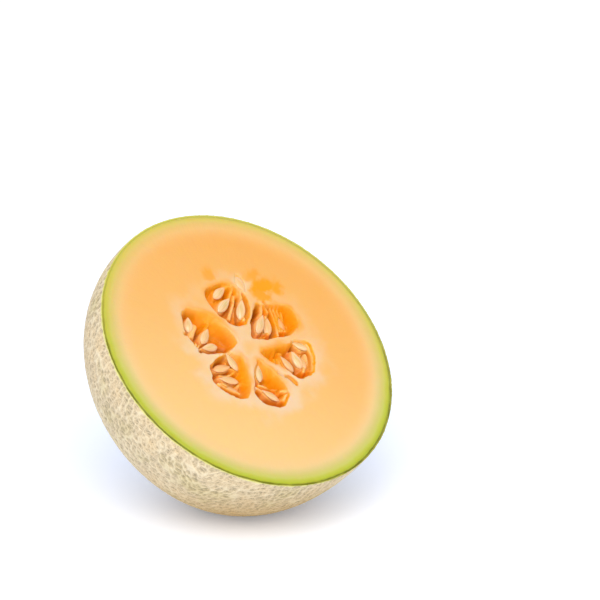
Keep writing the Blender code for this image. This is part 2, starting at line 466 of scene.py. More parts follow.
# %% [markdown]
# ## What the rind is made of
#
# The lines are cork: dead, dry, matt, cream, and rough at a fraction of a millimetre. The ground is
# living skin, grey-tan and a little smoother. A line has no hard border: cork thins out to tan on
# its flanks. So the colour is a ramp over the distance into a line. The finest cracks are narrower
# than the mesh's squares, so the material draws them itself, by the same rule as the large ones.
# Low down, near the floor, everything is painted darker and tanner as shade. Right beside the cut, green
# juice has bled into the skin.

# %% Cork net on grey-tan skin
# Sizes in mm: the lumps of the noises, the push on the fine cells, and how high the cork stands.
BEND_SIZE, BEND_PUSH = 3.0, 2.2
CORK_GRAIN, CORK_RELIEF = 0.55, 0.35
PATCH_SIZE = 16.0
FINE_CELL = 2.0
FINE_HALF_WIDTHS = (-0.12, 0.16)
# Heights over the floor between which the painted shade grows to full.
FLOOR_SHADE_HEIGHTS = (38.0 * MM, 2.0 * MM)
BLED_LEVELS = (-0.9, 0.1)
NET_LOW, NET_HIGH = -1.3, 0.7
# Distance into a line in mm, and the colour there.
NET_STOPS = [
    (-1.3, "8E8166"), (-0.75, "A29477"), (-0.3, "C0AE8B"),
    (0.0, "DAC6A0"), (0.3, "EADAB5"), (0.7, "F2E6C8"),
]
PATCH_TINTS = [(0.3, "F6F7E8"), (0.5, "FFFFFF"), (0.7, "FFF9F0")]
# The tan of the painted shade near the floor, and the green of juice bled into the skin by the cut.
FLOOR_SHADE_TAN, BLED_GREEN = linear("E4D6BC"), linear("D6D288")


def make_rind_material():
    """Colour by the distance into a line, which fine cracks and grain first make uneven."""
    material, shader = new_material("corky_netted_rind")
    place = face_coordinates(material)
    bend = noise(material, place, BEND_SIZE, "Color")
    bent = vectors(material, "MULTIPLY_ADD", bend, (BEND_PUSH,) * 3, place)
    grain = noise(material, place, CORK_GRAIN, Roughness=0.6)
    patches = noise(material, place, PATCH_SIZE, detail=3.0)
    cells = {"Vector": bent, "Scale": 1.0 / FINE_CELL}
    crack = add_node(material, "ShaderNodeTexVoronoi", cells, feature="DISTANCE_TO_EDGE")
    crack_width = rescale(material, patches, 0.35, 0.65, *FINE_HALF_WIDTHS)
    fine = sums(material, "MULTIPLY_ADD", crack.outputs["Distance"], -FINE_CELL, crack_width)
    either = sums(material, "SMOOTH_MAX", read(material, "net"), fine, 0.25)
    ragged = sums(material, "ADD", grain, sums(material, "ADD", either, -0.5))
    net_colour = ramp_over(material, ragged, NET_LOW, NET_HIGH, NET_STOPS)
    tint = ramp_over(material, patches, 0.0, 1.0, PATCH_TINTS)
    colour = mix_colours(material, 1.0, net_colour, tint, blend_type="MULTIPLY")
    # Painted shade: darker and tanner towards the floor.
    model_place = add_node(material, "ShaderNodeTexCoord").outputs["Object"]
    above_floor = add_node(material, "ShaderNodeSeparateXYZ", {"Vector": model_place}).outputs["Z"]
    painted_floor_shade = rescale(material, above_floor, *FLOOR_SHADE_HEIGHTS, kind="SMOOTHSTEP")
    floor_shaded = mix_colours(material, 1.0, colour, FLOOR_SHADE_TAN, blend_type="MULTIPLY")
    colour = mix_colours(material, painted_floor_shade, colour, floor_shaded)
    level = add_node(material, "ShaderNodeSeparateXYZ", {"Vector": place}).outputs["Z"]
    bled = rescale(material, sums(material, "ADD", level, grain), *BLED_LEVELS, kind="SMOOTHSTEP")
    colour = mix_colours(material, bled, colour, BLED_GREEN)
    numbers = {"Roughness": 0.78, "Specular IOR Level": 0.35}
    return dress(material, shader, colour, numbers, ragged, 0.7, CORK_RELIEF)


# %% [markdown]
# The knife also lays open the skin's own edge. It shows as a thin dark green line between the flesh
# and the cream cork outside it. The line is strongest on the lower left, where the fruit was
# greenest, and nearly gone on the opposite side.

# %% The cut edge of the skin
# Share of the way out through the rind, and the colour there, where the edge is dark and where light.
DARK_EDGE_STOPS = [(0.0, "767805"), (0.4, "6C6E02"), (0.65, "7A7B05"), (0.85, "BDBA5C"), (1.0, "D9D58E")]
LIGHT_EDGE_STOPS = [(0.0, "C4BE48"), (0.5, "C4C054"), (1.0, "D0CC7C")]
EDGE_FROM, EDGE_TO = FACE_RADIUS - RIND_THICKNESS + 0.35, FACE_RADIUS + 0.3
TOOTH_SIZE, TOOTH_HEIGHT = 1.2, 0.7
DARK_LENGTHS = 9.0
GREEN_BEARING = math.radians(-112.0)


def towards_green(material, place):
    """Distance from the axis, and 1 where the green of the cut is widest and -1 opposite: the cosine
    of the turn from there."""
    flat = vectors(material, "MULTIPLY", place, (1.0, 1.0, 0.0))
    outward = vectors(material, "NORMALIZE", flat)
    green_way = (math.cos(GREEN_BEARING), math.sin(GREEN_BEARING), 0.0)
    radius = vectors(material, "LENGTH", flat, output="Value")
    return radius, vectors(material, "DOT_PRODUCT", outward, green_way, output="Value")


def make_edge_material():
    """Dark green and cream by the distance from the axis, and plainer where the rind is palest."""
    material, shader = new_material("cut_skin_edge")
    place = face_coordinates(material)
    radius, towards = towards_green(material, place)
    uneven = sums(material, "MULTIPLY_ADD", noise(material, place, TOOTH_SIZE), TOOTH_HEIGHT, radius)
    share = rescale(material, uneven, EDGE_FROM, EDGE_TO)
    dark = ramp_over(material, share, 0.0, 1.0, DARK_EDGE_STOPS)
    light = ramp_over(material, share, 0.0, 1.0, LIGHT_EDGE_STOPS)
    green_side = rescale(material, towards, -0.7, 0.25, kind="SMOOTHSTEP")
    kept = rescale(material, noise(material, place, DARK_LENGTHS), 0.4, 0.58, 0.5, 1.0)
    colour = mix_colours(material, sums(material, "MULTIPLY", green_side, kept), light, dark)
    return dress(material, shader, colour, {"Roughness": 0.6, "Specular IOR Level": 0.2})


rind = make_piece("netted_rind", rind_points, rind_faces, make_rind_material(), ["melon_half"])
add_attribute(rind, "net", np.concatenate([net, np.zeros(len(rind_points) - len(net))]))
rind.data.materials.append(make_edge_material())
material_index = np.zeros(len(rind_faces), dtype=np.int32)
material_index[len(quads) : len(quads) + len(edge_faces)] = 1
rind.data.polygons.foreach_set("material_index", material_index)

# %% [markdown]
# ## The seeds' places
#
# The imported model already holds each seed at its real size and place. A seed is longest towards its
# point, then wide, then thin, so the three directions in which its points spread most, next and
# least are its own axes. The spread is the covariance of the points, and its eigenvectors are the
# axes.

# %% Read each seed's place from the model


def read_seed(node):
    """Middle, axes and sizes of one CAD seed in face mm. The first axis runs to the pointed end."""
    mesh = frame["nodes"][node].data
    points = np.zeros(len(mesh.vertices) * 3, dtype=np.float32)
    mesh.vertices.foreach_get("co", points)
    points = to_face(np.unique(points.reshape(-1, 3).round(7), axis=0).astype(float))
    axes = np.linalg.eigh(np.cov((points - points.mean(0)).T))[1][:, ::-1].T
    reach = points @ axes.T
    middle = (reach.max(0) + reach.min(0)) / 2
    if reach[:, 0].mean() > middle[0]:
        axes[0] *= -1
    if axes[2][2] < 0:
        axes[2] *= -1
    axes[1] = np.cross(axes[2], axes[0])
    reach = points @ axes.T
    middle = (reach.max(0) + reach.min(0)) / 2
    return {"middle": middle @ axes, "axes": axes, "sizes": reach.max(0) - reach.min(0)}


seed_names = sorted(name for name in frame["nodes"] if name.startswith("seed_"))
seeds = {name: read_seed(name) for name in seed_names}
for name, seed in seeds.items():
    print(name, "middle", seed["middle"].round(1), "sizes", seed["sizes"].round(1))

# %% [markdown]
# ## The seed pockets
#
# Each pocket is a smooth closed outline on the cut face. Four are the same as in the model, and two
# follow the fruit's uneven edges a little closer. The depth of the pulp at a point depends on how far
# inside the outline it lies: the wall falls away over a few millimetres, steeply on one side and
# gently on the other, to a floor of fibrous pulp.

# %% Outlines of the pockets
# Each is the depth, the widths of the steep and the gentle wall, the gentle side's bearing in
# degrees, and the outline. Lengths are in mm.
POCKETS = [
    # Top.
    (6.0, 2.2, 3.0, 90.0, [(-8.8, 31.0), (-3.6, 36.6), (8.0, 36.2), (13.6, 28.0), (10.6, 17.6),
        (4.2, 12.2), (-4.6, 17.2)]),
    # Right upper.
    (7.0, 1.8, 4.0, 10.0, [(5.2, 5.0), (9.6, 13.2), (16.6, 20.6), (26.4, 19.4), (34.6, 17.0), (35.8, 7.0),
        (28.4, 2.0), (15.0, 2.2)]),
    # Right lower.
    (6.5, 2.4, 5.0, 150.0, [(5.2, -4.4), (14.0, -2.2), (25.0, -2.6), (35.4, -5.0), (34.0, -12.8),
        (27.0, -21.6), (18.6, -21.6), (10.0, -11.8)]),
    # Bottom.
    (6.5, 1.8, 5.0, 40.0, [(1.0, -7.0), (-5.4, -15.4), (-10.4, -25.0), (-6.6, -32.2), (2.0, -34.0),
        (8.2, -28.0), (7.6, -19.4), (3.4, -12.0)]),
    # Left lower.
    (6.5, 2.0, 5.0, 0.0, [(-24.6, -3.4), (-15.6, -1.4), (-7.0, -3.4), (-7.8, -12.2), (-11.6, -21.8),
        (-18.0, -25.6), (-25.6, -20.0), (-28.8, -11.4)]),
    # Left upper.
    (7.0, 2.0, 8.0, 45.0, [(-23.0, 28.6), (-16.4, 26.6), (-8.6, 19.6), (-5.0, 11.0), (-6.0, 3.4),
        (-11.4, 0.8), (-18.6, 0.9), (-26.8, 3.8), (-29.4, 14.0), (-27.2, 23.6)]),
]
OUTLINE_POINTS = 240


def smooth_curve(corners, count, closed=True):
    """A curve through the corners (Catmull-Rom): cubic pieces whose slope at a corner is half the
    step from the corner before it to the one after."""
    corners = np.array(corners)
    pieces = len(corners) if closed else len(corners) - 1
    place = np.linspace(0.0, pieces, count, endpoint=not closed)
    index = np.minimum(place.astype(int), pieces - 1)
    t = (place - index)[:, None]
    around = (index + k for k in (-1, 0, 1, 2))
    if closed:
        a, b, c, d = (corners[i % pieces] for i in around)
    else:
        a, b, c, d = (corners[np.clip(i, 0, pieces)] for i in around)
    bend, twist = 2 * a - 5 * b + 4 * c - d, 3 * b - a - 3 * c + d
    return 0.5 * (2 * b + (c - a) * t + bend * t**2 + twist * t**3)


def outline_distance(points, outline):
    """Distance to an outline, positive inside. Its size is that to the nearest of the outline's points.
    A point is inside if a line from it to the right crosses the outline an odd number of times."""
    step = points[:, None, :] - outline
    size = np.sqrt((step**2).sum(-1).min(1))
    u, v = points[:, :1], points[:, 1:2]
    ahead = np.roll(outline, -1, axis=0)
    rise = ahead[:, 1] - outline[:, 1]
    crosses = (outline[:, 1] > v) != (ahead[:, 1] > v)
    at = outline[:, 0] + (v - outline[:, 1]) * (ahead[:, 0] - outline[:, 0]) / np.where(rise == 0, 1, rise)
    inside = (crosses & (u < at)).sum(1) % 2 == 1
    return np.where(inside, size, -size)


# %% [markdown]
# ## Cords and crevices of the pulp
#
# The pulp in a pocket isn't a smooth floor. Soft cords of it run from the wall to each seed, and
# crevices open between them. Both are drawn as paths on the cut face. A cord is a round ridge whose
# crest runs at a stated depth. A crevice is a groove that deepens whatever it crosses, and its colour
# is darkened there as painted shade.

# %% Paths of the cords
# Each is a half width and then points: across, up and how far below the cut, in tenths of a mm.
CORDS = [
    # In the top pocket.
    (9, [(64, 290, 36), (78, 309, 30), (93, 327, 22), (99, 341, 10), (98, 351, 2)]),
    (9, [(122, 272, 32), (123, 289, 26), (122, 303, 18), (123, 318, 8), (123, 326, 1)]),
    (8, [(128, 305, 2), (127, 272, 12), (120, 230, 20), (101, 189, 22), (68, 158, 16)]),
    (10, [(102, 302, 32), (83, 275, 38), (59, 244, 42), (31, 214, 42), (6, 191, 34)]),
    (7, [(64, 355, 14), (81, 351, 10), (92, 346, 5)]),
    # In the right upper pocket.
    (11, [(172, 164, 32), (189, 175, 26), (200, 191, 18), (203, 210, 8), (205, 224, 1)]),
    (8, [(240, 208, 4), (238, 195, 14), (237, 178, 24)]),
    (9, [(216, 155, 34), (215, 127, 40), (203, 96, 42), (180, 65, 34)]),
    (4, [(107, 42, 12), (119, 36, 10), (135, 40, 12)]),
    (5.5, [(257, 189, 26), (260, 154, 36), (251, 109, 38), (230, 61, 30), (214, 36, 20)]),
    (5.5, [(277, 190, 28), (279, 153, 38), (267, 107, 38), (244, 59, 30)]),
    (5.5, [(298, 185, 30), (297, 145, 40), (285, 103, 40), (258, 57, 30)]),
    (5, [(316, 158, 36), (307, 115, 40), (292, 84, 36), (273, 52, 28)]),
    # In the right lower pocket.
    (8, [(170, -53, 30), (182, -57, 30)]),
    (9, [(263, -67, 26), (287, -80, 24), (305, -95, 22), (303, -117, 26), (291, -147, 26)]),
    (10, [(331, -57, 6), (335, -84, 12), (328, -118, 16), (308, -156, 16), (283, -190, 12)]),
    (7, [(286, -98, 36), (283, -127, 38), (268, -162, 32), (245, -185, 22)]),
    (8, [(149, -83, 26), (141, -110, 28), (133, -145, 22)]),
    (7, [(125, -82, 24), (115, -107, 22), (108, -128, 16)]),
    # In the bottom pocket.
    (10, [(60, -256, 20), (72, -261, 16), (82, -270, 9)]),
    (7, [(40, -308, 16), (56, -295, 14), (71, -283, 10)]),
    (5, [(-48, -197, 18), (-6, -210, 32), (29, -223, 38), (50, -236, 32)]),
    (7, [(-43, -228, 28), (-60, -216, 20), (-80, -210, 9)]),
    # In the left lower pocket.
    (8, [(-146, -57, 34), (-132, -64, 36), (-124, -78, 32)]),
    (7, [(-223, -93, 26), (-186, -98, 32), (-152, -99, 34), (-134, -97, 30)]),
    (7, [(-250, -140, 16), (-213, -154, 24), (-181, -166, 28), (-155, -171, 26)]),
    (8, [(-271, -145, 6), (-243, -175, 10), (-212, -201, 14), (-184, -219, 14)]),
    # In the left upper pocket.
    (19, [(-263, 143, 22), (-237, 165, 26), (-211, 190, 28)]),
    (8, [(-160, 159, 30), (-145, 174, 28), (-134, 184, 20)]),
    (4.5, [(-258, 104, 16), (-280, 77, 7), (-299, 56, 1)]),
    (4, [(-252, 82, 16), (-279, 63, 6), (-306, 46, 0)]),
    (4, [(-257, 60, 12), (-282, 46, 5), (-304, 34, 0)]),
]

# %% Paths of the crevices
# Each is a half width, an extra depth and then points: across and up, in tenths of a mm.
CREVICES = [
    # In the top pocket.
    (11, 8, [(-74, 303), (-66, 331), (-39, 354), (-1, 359), (45, 355)]),
    (8, 12, [(-6, 307), (38, 314), (64, 327), (79, 343)]),
    (6, 9, [(58, 312), (72, 326), (85, 338)]),
    (7, 10, [(-64, 284), (-51, 263), (-46, 243)]),
    (10, 14, [(-38, 234), (-13, 223), (17, 236), (49, 261), (71, 281)]),
    (10, 10, [(-25, 203), (-11, 190), (1, 170), (25, 159), (45, 162)]),
    (6, 12, [(110, 286), (93, 257), (77, 226), (63, 195), (52, 171)]),
    (6, 12, [(134, 294), (133, 267), (128, 239), (116, 204), (89, 169)]),
    (5, 6, [(141, 279), (138, 249), (120, 204)]),
    # In the right upper pocket.
    (8, 10, [(73, 67), (85, 95), (103, 127), (125, 157), (142, 183)]),
    (20, 12, [(162, 183), (177, 199), (184, 212)]),
    (8, 14, [(225, 221), (237, 201), (247, 179), (250, 150), (240, 119), (225, 87), (204, 59)]),
    (7, 12, [(62, 60), (84, 47), (110, 38), (142, 36), (162, 33)]),
    (3, 8, [(174, 134), (167, 107), (149, 75)]),
    (3, 5, [(276, 168), (271, 123), (248, 72)]),
    (3, 5, [(295, 163), (289, 116), (266, 71)]),
    (3.5, 6, [(317, 127), (303, 92), (280, 62)]),
    # In the right lower pocket.
    (6, 12, [(152, -85), (156, -60), (168, -42), (192, -53), (218, -62)]),
    (5.5, 18, [(211, -73), (217, -99), (223, -129), (221, -155), (203, -182)]),
    (10, 16, [(216, -170), (225, -193), (208, -218)]),
    (7, 16, [(254, -25), (263, -55), (276, -73), (293, -85), (305, -85)]),
    (9, 8, [(68, -61), (84, -87), (100, -112)]),
    (6, 8, [(117, -55), (125, -82), (117, -117)]),
    (8, 9, [(319, -87), (323, -113), (303, -153), (276, -193)]),
    (9, 16, [(90, -171), (107, -187), (127, -204), (139, -225), (148, -249)]),
    (6, 8, [(130, -194), (148, -214), (158, -239)]),
    # In the bottom pocket.
    (3.5, 5, [(-13, -97), (-36, -122), (-58, -152)]),
    (19, 14, [(-4, -178), (23, -195), (25, -215)]),
    (7, 8, [(18, -165), (35, -191), (45, -227), (56, -247)]),
    (11, 14, [(-88, -225), (-86, -255), (-65, -258), (-69, -237)]),
    (8, 15, [(-65, -262), (-36, -273), (-12, -288), (12, -301), (30, -318)]),
    (5, 7, [(53, -272), (66, -277), (77, -276)]),
    # In the left lower pocket.
    (13, 12, [(-210, -29), (-177, -20), (-155, -16)]),
    (7, 15, [(-152, -13), (-142, -36), (-134, -64)]),
    (6, 10, [(-261, -54), (-248, -74)]),
    (9, 16, [(-249, -77), (-220, -84), (-188, -88), (-153, -85)]),
    (8, 14, [(-143, -105), (-127, -115), (-123, -135)]),
    (4.5, 12, [(-269, -129), (-234, -140), (-197, -154), (-162, -160), (-134, -149)]),
    (7, 12, [(-262, -163), (-235, -190), (-212, -208), (-188, -227)]),
    # In the left upper pocket.
    (10, 10, [(-305, 150), (-287, 150)]),
    (14, 9, [(-245, 249), (-217, 254), (-190, 242)]),
    (8, 12, [(-226, 144), (-194, 168), (-163, 185), (-143, 181)]),
    (10, 14, [(-272, 123), (-262, 104), (-255, 97)]),
    (6, 12, [(-133, 163), (-141, 142), (-157, 116)]),
    (5, 12, [(-243, 89), (-216, 86), (-183, 93)]),
    (9, 16, [(-275, 42), (-244, 44), (-213, 36), (-179, 31), (-155, 30)]),
    (11, 12, [(-140, 59), (-114, 62), (-98, 49)]),
]
PATH_STEPS = 16
TENTHS = 10


def path_distance(points, path):
    """Distance to the nearest of a path's straight pieces, and the path's own numbers there."""
    best = np.full(len(points), np.inf)
    found = np.zeros((len(points), path.shape[1]))
    for start, end in zip(path, path[1:]):
        way = end[:2] - start[:2]
        share = np.clip((points - start[:2]) @ way / (way @ way), 0.0, 1.0)[:, None]
        at = start + share * (end - start)
        away = np.linalg.norm(points - at[:, :2], axis=1)
        found = np.where((away < best)[:, None], at, found)
        best = np.minimum(best, away)
    return best, found


# %% [markdown]
# ## The flesh
#
# The flesh is one closed solid: the cut face with its pockets, and a plain outer wall just inside the
# skin. The grid of the face is drawn in towards the pockets, where the detail is. The floor of a
# pocket is built up in turn: the wall, then long fibres and soft lumps, then a cradle under each seed,
# then the cords, and last the crevices.

# %% The cut face as a grid
FLESH_GRID = 290
POCKETS_WITHIN = 41.0
POCKETS_SHARE = 0.86
SKIN_GAP = 0.06
FLESH_INSET = RIND_THICKNESS + SKIN_GAP
flesh_radius = layer_radius(FLESH_INSET)
x, y, face_quads, face_rim = disc_grid(FLESH_GRID)
ring_share = np.hypot(x, y)
spread = np.interp(ring_share, [0.0, POCKETS_SHARE, 1.0], [0.0, POCKETS_WITHIN, flesh_radius])
around = np.arctan2(y, x)
u, v = spread * np.cos(around), spread * np.sin(around)
flat = np.stack([u, v, np.zeros_like(u)], -1)
print("face grid spacing near the pockets, mm:", round(POCKETS_WITHIN / POCKETS_SHARE / FLESH_GRID * 2, 2))

# %% Walls, fibres and lumps
# Sizes in mm. The fibres fan out from the axis, and are spaced as stated 20 mm from it.
FIBRE_SPACING, FIBRE_LENGTH, SPACED_AT = 1.1, 9.0, 20.0
FIBRE_HEIGHT, LUMP_HEIGHT = 0.35, 0.6
LIP = 0.6
HALO_OUT, HALO_IN = -3.6, 0.6
FADE_SHARE = 0.36
RING_WITHIN = 60.0
FAR_OUTSIDE = -30.0
rim_inside = np.full(len(u), FAR_OUTSIDE)
halo = np.zeros(len(u))
fade = np.ones(len(u))
depth = np.zeros(len(u))
near = np.nonzero(spread < RING_WITHIN)[0]
warped = flat[near, :2] + 0.6 * noise_shift(flat[near], 4.5, (21, 22))
warped = warped + 0.25 * noise_shift(flat[near], 1.6, (25, 26))
fibre_turn = np.arctan2(v[near], u[near]) * SPACED_AT / FIBRE_SPACING
fibres = smooth_noise(np.stack([fibre_turn, spread[near] / FIBRE_LENGTH, 0 * fibre_turn], -1), 1.0, 23)
lumps = smooth_noise(flat[near], 3.2, 24)
for pocket_depth, steep, gentlest, side, corners in POCKETS:
    outline = smooth_curve(corners, OUTLINE_POINTS)
    inside = outline_distance(warped, outline)
    middle = outline.mean(0)
    bearing = np.arctan2(v[near] - middle[1], u[near] - middle[0]) - math.radians(side)
    gentle = np.clip(np.cos(bearing), 0.0, 1.0)
    width = steep + (gentlest - steep) * gentle
    share = ease(0.0, 1.0, (inside + LIP) / (width + LIP))
    fall = share * (pocket_depth + FIBRE_HEIGHT * fibres + LUMP_HEIGHT * lumps)
    depth[near] = np.maximum(depth[near], fall)
    halo[near] = np.maximum(halo[near], gentle * ease(HALO_OUT, HALO_IN, inside + lumps))
    thin = ease(FADE_SHARE * gentlest, -1.0, inside) * (inside > HALO_OUT)
    fade[near] = np.minimum(fade[near], 1.0 - gentle * thin)
    rim_inside[near] = np.maximum(rim_inside[near], inside)
print("pulp reaches", round(float(depth.max()), 1), "mm deep")

# %% [markdown]
# Round the pockets the flesh is paler, most of all low on the face, in the middle of the star that
# the pockets leave between them, and round the seed that lies on the rim of the top pocket.

# %% The pale ring
# Sizes and places in mm on the face.
RING_FADES_OVER = 11.0
STAR_MIDDLE, STAR_SIZE = (-4.0, 8.0), 11.0
RIM_SEED_RING = 4.6
uneven_ring = rim_inside + 4.0 * smooth_noise(flat, 7.0, 29) + 1.5 * smooth_noise(flat, 2.5, 30)
pale_ring = 0.72 * ease(-RING_FADES_OVER, 1.0, uneven_ring)
pale_ring *= 1.0 - 0.2 * ease(16.0, 7.0, spread)
pale_ring *= 0.4 + 0.9 * ease(-30.0, 25.0, -0.45 * u - 0.9 * v)
rim_seed = seeds["seed_20"]["middle"]
for share, middle, size in ((0.35, STAR_MIDDLE, STAR_SIZE), (0.8, rim_seed, RIM_SEED_RING)):
    pale_ring += share * np.exp(-((np.hypot(u - middle[0], v - middle[1]) / size) ** 2))
pale_ring = np.minimum(pale_ring, 1.0)
print("pale share of the face", round(float(pale_ring.mean()), 2))

# %% Cradles under the seeds
# Sizes in mm. The pulp hugs a seed, and the cradle under it keeps clear of the seed's underside.
SEED_WIDEST = 0.6
SEED_BLUNTNESS = 0.62
CRADLE_GAP = 0.1
MARGIN_COVERED, LENGTH_COVERED = 0.93, 0.97
HUG_REACH, HUG_SHARE = 0.9, 0.9
PALE_REACH = 1.4


def seed_swell(from_point):
    """Share of the full width along a seed: the sine of half a turn of s to the k, to the 0.62.

    s runs from 0 at the point to 1 at the blunt end, and k puts the widest place at 0.6.
    """
    skew = math.log(0.5) / math.log(SEED_WIDEST)
    return np.sin(math.pi * np.clip(from_point, 0.0, 1.0) ** skew) ** SEED_BLUNTNESS


height = -depth
beside_seed = np.zeros(len(u))
under_seed = np.full(len(u), np.inf)
for seed in seeds.values():
    step = flat - [*seed["middle"][:2], 0.0]
    along_axis, wide_axis = seed["axes"][0], seed["axes"][1]
    slope = [along_axis[2] / np.hypot(*along_axis[:2]), wide_axis[2] / np.hypot(*wide_axis[:2])]
    heading = along_axis[:2] / np.hypot(*along_axis[:2])
    along = step[:, :2] @ heading
    side = step[:, :2] @ np.array([-heading[1], heading[0]])
    length, width, thickness = seed["sizes"]
    swell = seed_swell(0.5 - along / length)
    beyond = np.maximum(np.abs(along) - length / 2, 0.0)
    outside = np.hypot(np.maximum(np.abs(side) - width / 2 * swell, 0.0), beyond)
    level = seed["middle"][2] + along * slope[0] + side * slope[1]
    hug = np.exp(-((outside / HUG_REACH) ** 2)) * (rim_inside > -1.0)
    height = height + hug * (np.minimum(level - CRADLE_GAP, 0.0) - height) * HUG_SHARE
    beside_seed = np.maximum(beside_seed, np.exp(-((outside / PALE_REACH) ** 2)))
    half_width = width / 2 * swell * MARGIN_COVERED
    share_across = np.clip(np.abs(side) / np.maximum(half_width, 0.01), 0.0, 1.0)
    under = level - (thickness / 2 * swell + CRADLE_GAP) * np.sqrt(1.0 - share_across**2)
    covered = (np.abs(side) < half_width) & (np.abs(along) < length / 2 * LENGTH_COVERED)
    under_seed = np.where(covered, np.minimum(under_seed, under), under_seed)
print("cradles made for", len(seeds), "seeds")

# %% Lay the cords and open the crevices
BLEND = 0.35
CORD_FLANK = 3.0
PATH_WAVES, WAVE_SIZE = 0.2, 1.8
cord_share = np.zeros(len(u))
crevice_shade_share = np.zeros(len(u))
inner = np.nonzero(spread < POCKETS_WITHIN)[0]
wavy = flat[inner, :2] + PATH_WAVES * noise_shift(flat[inner], WAVE_SIZE, (27, 28))
for half_width, path in CORDS:
    half_width = half_width / TENTHS
    away, at = path_distance(wavy, smooth_curve(np.array(path) / TENTHS, PATH_STEPS, closed=False))
    crest = -at[:, 2] - half_width * (1.0 - np.sqrt(1.0 - np.clip(away / half_width, 0.0, 1.0) ** 2))
    crest -= CORD_FLANK * np.maximum(away - half_width, 0.0)
    gap = np.maximum(BLEND - np.abs(crest - height[inner]), 0.0)
    height[inner] = np.maximum(crest, height[inner]) + gap**2 / (4 * BLEND)
    cord_share[inner] = np.maximum(cord_share[inner], ease(1.3, 0.5, away / half_width))
# Each crevice deepens the pulp, and its share later darkens the pulp's colour as painted shade.
for half_width, extra, path in CREVICES:
    half_width, extra = half_width / TENTHS, extra / TENTHS
    away, _ = path_distance(wavy, smooth_curve(np.array(path) / TENTHS, PATH_STEPS, closed=False))
    groove = np.exp(-((away / half_width) ** 2))
    height[inner] -= extra * groove
    crevice_shade_share[inner] = np.maximum(crevice_shade_share[inner], groove * min(extra, 1.0))
height = np.minimum(height, under_seed)
depth = np.maximum(-height, 0.0)
print("cords laid:", len(CORDS), " crevices opened:", len(CREVICES))

# %% The knife's trace and the solid
# The lump sizes and depths in mm, and seed numbers, of the faint waves that a knife leaves.
KNIFE_WAVES = [(6.0, 0.06, 31), (1.1, 0.03, 32)]
UNCUT_RIM = 0.5
knife = sum(depth_of * (1.0 + smooth_noise(flat, size, number)) for size, depth_of, number in KNIFE_WAVES)
top = np.stack([u, v, -depth - knife * (spread < flesh_radius - UNCUT_RIM)], -1)
turns = np.arctan2(y[face_rim], x[face_rim])
wall, wall_faces = bowl(face_rim, turns, FLESH_INSET, len(top))
wall_points = press_flat(to_model(wall), RIND_THICKNESS + SKIN_GAP)
flesh_points = np.concatenate([to_model(top), wall_points])
flesh_faces = face_quads.tolist() + [face[::-1] for face in wall_faces]

# %% [markdown]
# ## What the flesh is made of
#
# Melon flesh is wet and lets light in a little way, so it gets some subsurface scattering and a soft
# gloss. Its colour goes by rings: dark green under the skin, light green, a pale band, then orange.
# Round the pockets and in the core it is paler and pinker. In the pockets it deepens from yellow
# orange at the rim to amber on the floor, partly the pulp's own colour and partly painted shade. On a
# pocket's gentle side the amber fades out over the rim, with no border. Here and there juice has soaked
# the flesh to a strong yellow.

# %% Patches soaked with juice
# Each is where it lies on the face and its half sizes, in mm, and how strong it is.
SOAKED_PATCHES = [
    (28.0, 30.2, 8.4, 5.6, 1.0),
    (23.2, 26.4, 4.4, 6.0, 0.9),
    (33.2, 27.6, 4.4, 3.4, 0.9),
    (22.6, 37.6, 7.0, 3.4, 0.65),
    (0.5, 43.0, 3.6, 4.6, 0.7),
    (1.9, -8.2, 2.4, 2.0, 0.7),
]


def soaked_share(points):
    """1 in the middle of a patch and 0 outside: an ellipse with an eased, uneven edge."""
    uneven = 0.35 * smooth_noise(points, 3.0, 41) + 0.2 * smooth_noise(points, 1.2, 42)
    total = np.zeros(len(points))
    for across, up, half_across, half_up, strength in SOAKED_PATCHES:
        reach = np.hypot((points[:, 0] - across) / half_across, (points[:, 1] - up) / half_up)
        total = np.maximum(total, strength * (1.0 - ease(0.45, 1.35, reach + uneven)))
    return total


# %% Flesh material
# Distance in from the skin in mm, and the colour there, where the green is widest and opposite.
GREEN_BAND = 16.0
WIDE_GREEN_STOPS = [
    (0.0, "66690D"), (0.3, "7A7E15"), (0.65, "A2A926"), (1.6, "AFB532"), (2.6, "B5B944"), (3.6, "BDBC5C"),
    (4.8, "C2BA64"), (6.5, "CCBB76"), (9.0, "DBBE82"), (12.0, "E2BC82"), (16.0, "E3BB7D"),
]
NARROW_GREEN_STOPS = [
    (0.0, "C0B644"), (0.7, "C8BA52"), (1.9, "CCB857"), (3.1, "D0B662"), (4.6, "D6B266"), (7.0, "DDB26C"),
    (11.0, "E0AB62"), (16.0, "E0A75A"),
]
# Distance towards the lower left of the face in mm, and the orange there: paler towards the lower left,
# partly the flesh's own tone and partly painted light.
ORANGE_AND_PAINTED_LIGHT_STOPS = [(-60.0, "DFA453"), (0.0, "E0AE64"), (60.0, "E1BE7D")]
# Depth below the cut in mm, and the colour of the pulp there: darker deeper down, partly the pulp's own
# amber and partly painted shade.
PULP_LOW, PULP_HIGH = -0.5, 7.5
PULP_AND_DEPTH_SHADE_STOPS = [
    (-0.5, "F4B238"), (0.6, "F4A91A"), (1.8, "F09F0C"),
    (3.4, "EA8F0A"), (5.2, "E08209"), (7.5, "D2740C"),
]
PALE_FLESH, PALE_PULP = linear("DDC09A"), linear("F2C482")
# The brown of the painted shade in the crevices, and the yellow of soaked juice.
PAINTED_CREVICE_SHADE, JUICE_YELLOW = linear("AC6216"), linear("E89600")
BLOTCH_SIZE, GRAIN_SIZE = 7.0, 1.1
RINGS_FROM, RINGS_VARY = flesh_radius - 0.7, 1.4
DEPTH_VARIES, DEPTH_SHIFT = 3.6, -1.6


